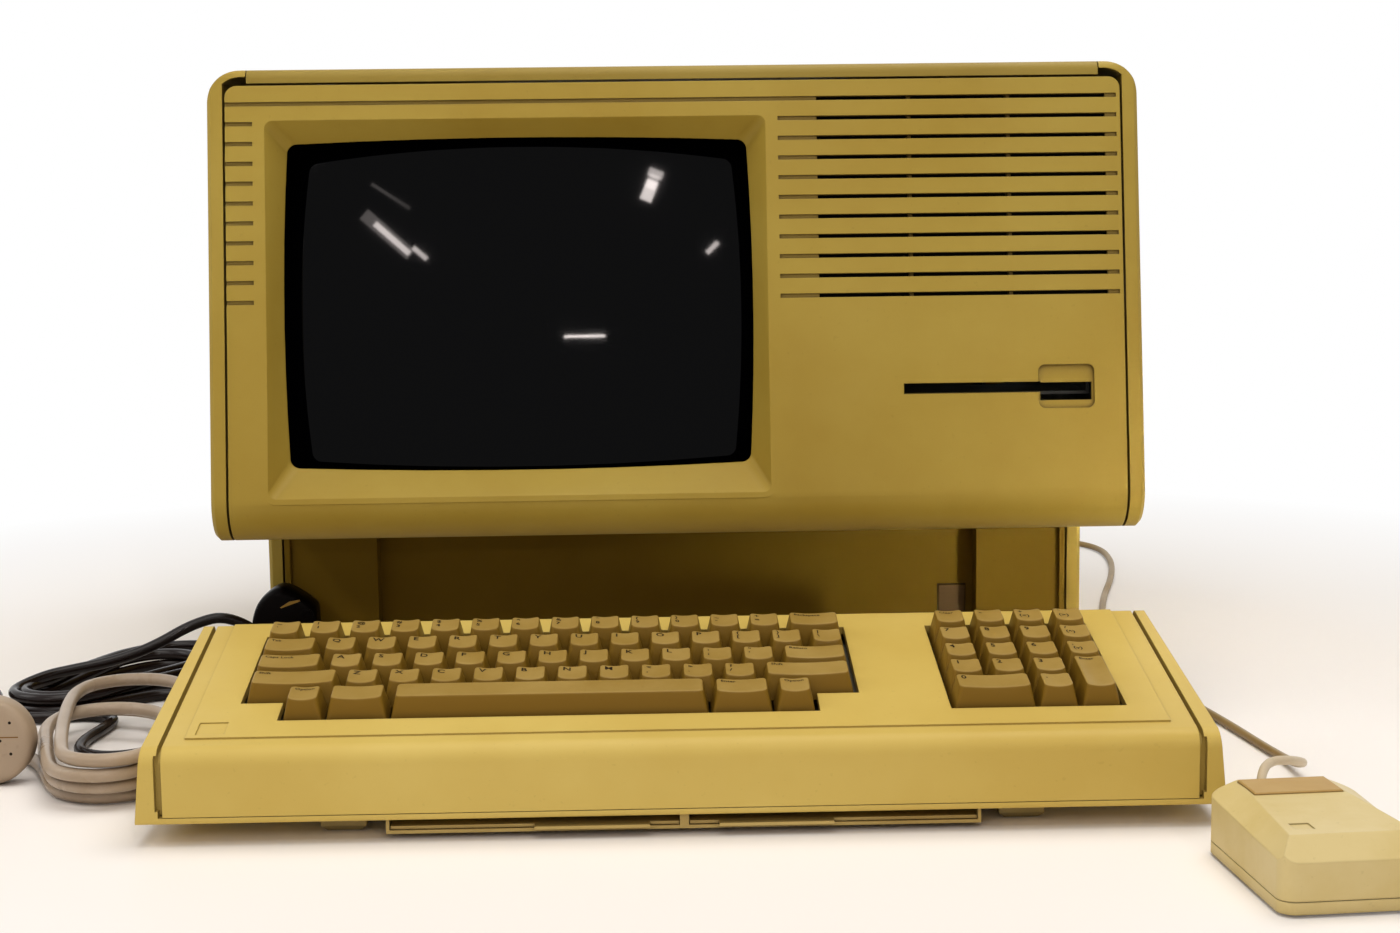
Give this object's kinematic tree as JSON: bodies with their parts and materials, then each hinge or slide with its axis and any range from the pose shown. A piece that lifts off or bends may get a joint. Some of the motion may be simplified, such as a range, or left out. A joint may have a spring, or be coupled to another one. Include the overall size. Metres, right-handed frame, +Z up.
{
  "type": "desktop computer",
  "caption": "All-in-one desktop computer with a tube screen beside a louvred disk drive bay, on a set-back pedestal, with a separate keyboard, a one-button mouse and leads.",
  "frame": {"origin": "centre of the computer's bottom pan, on the table", "axes": "+X to the right as seen from the front, +Y to the back, +Z up"},
  "size_m": [0.7454, 0.8615, 0.3395],
  "materials": {
    "casing": "fine texture, yellowed with age",
    "button_grey": "matte",
    "sheet_metal": "zinc plated",
    "pan_plastic": "matte",
    "foot_rubber": "matte",
    "screw_metal": "satin",
    "inlet_plastic": "matte",
    "tube_glass": "dark, polished",
    "circuit_board": "satin",
    "drive_metal": "satin",
    "keyboard_casing": "fine texture, yellowed with age",
    "card": "satin",
    "keys": "fine texture",
    "mouse_casing": "fine texture",
    "mouse_button_tan": "matte",
    "mouse_lead": "satin",
    "grey_lead": "satin",
    "black_rubber": "satin"
  },
  "bodies": {
    "machine": {"side_shell_left": "casing", "side_shell_right": "casing", "recess_panel": "casing", "chassis": "sheet_metal", "base_pan": "pan_plastic", "base_feet": "foot_rubber", "port_panel": "sheet_metal", "port_connectors": "screw_metal", "mains_inlet": "inlet_plastic", "crt_tube": "tube_glass", "deflection_yoke": "inlet_plastic", "video_board": "circuit_board", "power_supply": "sheet_metal", "card_cage": "sheet_metal", "backplane": "circuit_board", "plug_in_boards": "circuit_board", "drive_frame": "drive_metal", "mouse_shell": "mouse_casing", "mouse_base": "mouse_casing", "mouse_cord": "mouse_lead", "mains_lead": "grey_lead", "mains_plug": "grey_lead", "inlet_connector": "grey_lead", "black_lead": "black_rubber", "black_plug": "black_rubber", "black_socket": "black_rubber"},
    "top_cover": {"top_cover": "casing"},
    "front_bezel": {"front_bezel": "casing"},
    "rear_cover": {"rear_cover": "casing", "cover_screws": "screw_metal"},
    "power_button": {"power_button": "button_grey"},
    "disk_cradle": {"disk_cradle": "drive_metal"},
    "spindle_hub": {"spindle_hub": "screw_metal"},
    "head_carriage": {"head_carriage": "drive_metal"},
    "lead_screw": {"lead_screw": "screw_metal"},
    "keyboard": {"keyboard_base": "keyboard_casing", "keyboard_cover": "keyboard_casing", "switch_plate": "sheet_metal", "key_circuit_board": "circuit_board", "keyboard_feet": "foot_rubber", "card_tray": "keyboard_casing"},
    "reference_card_left": {"reference_card_left": "card"},
    "reference_card_right": {"reference_card_right": "card"},
    "mouse_button": {"mouse_button": "mouse_button_tan"},
    "mouse_ball": {"mouse_ball": "foot_rubber"},
    "across_roller": {"across_roller": "screw_metal"},
    "along_roller": {"along_roller": "screw_metal"},
    "ball_ring": {"ball_ring": "mouse_casing"},
    "number_row_keys": {"number_row_keys": "keys"},
    "upper_row_keys": {"upper_row_keys": "keys"},
    "home_row_keys": {"home_row_keys": "keys"},
    "lower_row_keys": {"lower_row_keys": "keys"},
    "bottom_row_keys": {"bottom_row_keys": "keys"},
    "space_bar": {"space_bar": "keys"},
    "backspace_key": {"backspace_key": "keys"},
    "return_key": {"return_key": "keys"},
    "caps_key": {"caps_key": "keys"},
    "shift_keys": {"shift_keys": "keys"},
    "numpad_keys": {"numpad_keys": "keys"},
    "numpad_enter_key": {"numpad_enter_key": "keys"}
  },
  "joints": [
    {"name": "top_cover_lift", "type": "slide", "parent": "machine", "child": "top_cover", "axis": [0, 0, 1], "range_m": [0, 0.06]},
    {"name": "bezel_pull", "type": "slide", "parent": "machine", "child": "front_bezel", "axis": [0, -0.9874, 0.1582], "range_m": [0, 0.04]},
    {"name": "rear_cover_pull", "type": "slide", "parent": "machine", "child": "rear_cover", "axis": [0, 1, 0], "range_m": [0, 0.06]},
    {"name": "power_press", "type": "slide", "parent": "machine", "child": "power_button", "axis": [0, 1, 0], "range_m": [0, 0.003], "stiffness_N_per_m": 400, "springref_m": -0.001},
    {"name": "cradle_drop", "type": "slide", "parent": "machine", "child": "disk_cradle", "axis": [0, 0, -1], "range_m": [0, 0.005]},
    {"name": "spindle_spin", "type": "hinge", "parent": "machine", "child": "spindle_hub", "pos_m": [0.1625, -0.106, 0.157], "axis": [0, 0, 1], "continuous": true},
    {"name": "head_move", "type": "slide", "parent": "machine", "child": "head_carriage", "axis": [0, -1, 0], "range_m": [0, 0.02]},
    {"name": "screw_turn", "type": "hinge", "parent": "machine", "child": "lead_screw", "pos_m": [0.1625, -0.058, 0.15745], "axis": [0, 1, 0], "range_deg": [0, 1800.5]},
    {"name": "keyboard_slide", "type": "slide", "parent": "machine", "child": "keyboard", "axis": [0, 1, 0], "range_m": [-0.02, 0.15]},
    {"name": "card_left_pull", "type": "slide", "parent": "keyboard", "child": "reference_card_left", "axis": [0, -1, 0], "range_m": [0, 0.09]},
    {"name": "card_right_pull", "type": "slide", "parent": "keyboard", "child": "reference_card_right", "axis": [0, -1, 0], "range_m": [0, 0.09]},
    {"name": "number_row_press", "type": "slide", "parent": "keyboard", "child": "number_row_keys", "axis": [0, 0.1822, -0.9833], "range_m": [0, 0.0035], "stiffness_N_per_m": 1200, "springref_m": -0.0012},
    {"name": "upper_row_press", "type": "slide", "parent": "keyboard", "child": "upper_row_keys", "axis": [0, 0.1822, -0.9833], "range_m": [0, 0.0035], "stiffness_N_per_m": 1200, "springref_m": -0.0012},
    {"name": "home_row_press", "type": "slide", "parent": "keyboard", "child": "home_row_keys", "axis": [0, 0.1822, -0.9833], "range_m": [0, 0.0035], "stiffness_N_per_m": 1200, "springref_m": -0.0012},
    {"name": "lower_row_press", "type": "slide", "parent": "keyboard", "child": "lower_row_keys", "axis": [0, 0.1822, -0.9833], "range_m": [0, 0.0035], "stiffness_N_per_m": 1200, "springref_m": -0.0012},
    {"name": "bottom_row_press", "type": "slide", "parent": "keyboard", "child": "bottom_row_keys", "axis": [0, 0.1822, -0.9833], "range_m": [0, 0.0035], "stiffness_N_per_m": 300, "springref_m": -0.0015},
    {"name": "space_press", "type": "slide", "parent": "keyboard", "child": "space_bar", "axis": [0, 0.1822, -0.9833], "range_m": [0, 0.0035], "stiffness_N_per_m": 300, "springref_m": -0.0015},
    {"name": "backspace_press", "type": "slide", "parent": "keyboard", "child": "backspace_key", "axis": [0, 0.1822, -0.9833], "range_m": [0, 0.0035], "stiffness_N_per_m": 300, "springref_m": -0.0015},
    {"name": "return_press", "type": "slide", "parent": "keyboard", "child": "return_key", "axis": [0, 0.1822, -0.9833], "range_m": [0, 0.0035], "stiffness_N_per_m": 300, "springref_m": -0.0015},
    {"name": "caps_press", "type": "slide", "parent": "keyboard", "child": "caps_key", "axis": [0, 0.1822, -0.9833], "range_m": [0, 0.0035], "stiffness_N_per_m": 300, "springref_m": -0.0015},
    {"name": "shift_press", "type": "slide", "parent": "keyboard", "child": "shift_keys", "axis": [0, 0.1822, -0.9833], "range_m": [0, 0.0035], "stiffness_N_per_m": 300, "springref_m": -0.0015},
    {"name": "numpad_press", "type": "slide", "parent": "keyboard", "child": "numpad_keys", "axis": [0, 0.1822, -0.9833], "range_m": [0, 0.0035], "stiffness_N_per_m": 1200, "springref_m": -0.0012},
    {"name": "numpad_enter_press", "type": "slide", "parent": "keyboard", "child": "numpad_enter_key", "axis": [0, 0.1822, -0.9833], "range_m": [0, 0.0035], "stiffness_N_per_m": 300, "springref_m": -0.0015},
    {"name": "mouse_button_press", "type": "slide", "parent": "machine", "child": "mouse_button", "axis": [0, 0, -1], "range_m": [0, 0.0012], "stiffness_N_per_m": 600, "springref_m": -0.0008},
    {"name": "ball_spin", "type": "hinge", "parent": "machine", "child": "mouse_ball", "pos_m": [0.25063, -0.45598, 0.011], "axis": [0.9969, 0.0785, 0], "continuous": true},
    {"name": "across_roller_spin", "type": "hinge", "parent": "machine", "child": "across_roller", "pos_m": [0.23802, -0.45697, 0.011], "axis": [-0.0785, 0.9969, 0], "continuous": true},
    {"name": "along_roller_spin", "type": "hinge", "parent": "machine", "child": "along_roller", "pos_m": [0.24963, -0.44336, 0.011], "axis": [0.9969, 0.0785, 0], "continuous": true},
    {"name": "ring_turn", "type": "hinge", "parent": "machine", "child": "ball_ring", "pos_m": [0.25063, -0.45598, 0.002], "axis": [0, 0, 1], "range_deg": [0, 45]}
  ],
  "couplings": [
    {"joint": "screw_turn", "follows": "head_move", "rad_per_m": 1570.8},
    {"joint": "along_roller_spin", "follows": "ball_spin", "ratio": -6.875}
  ]
}
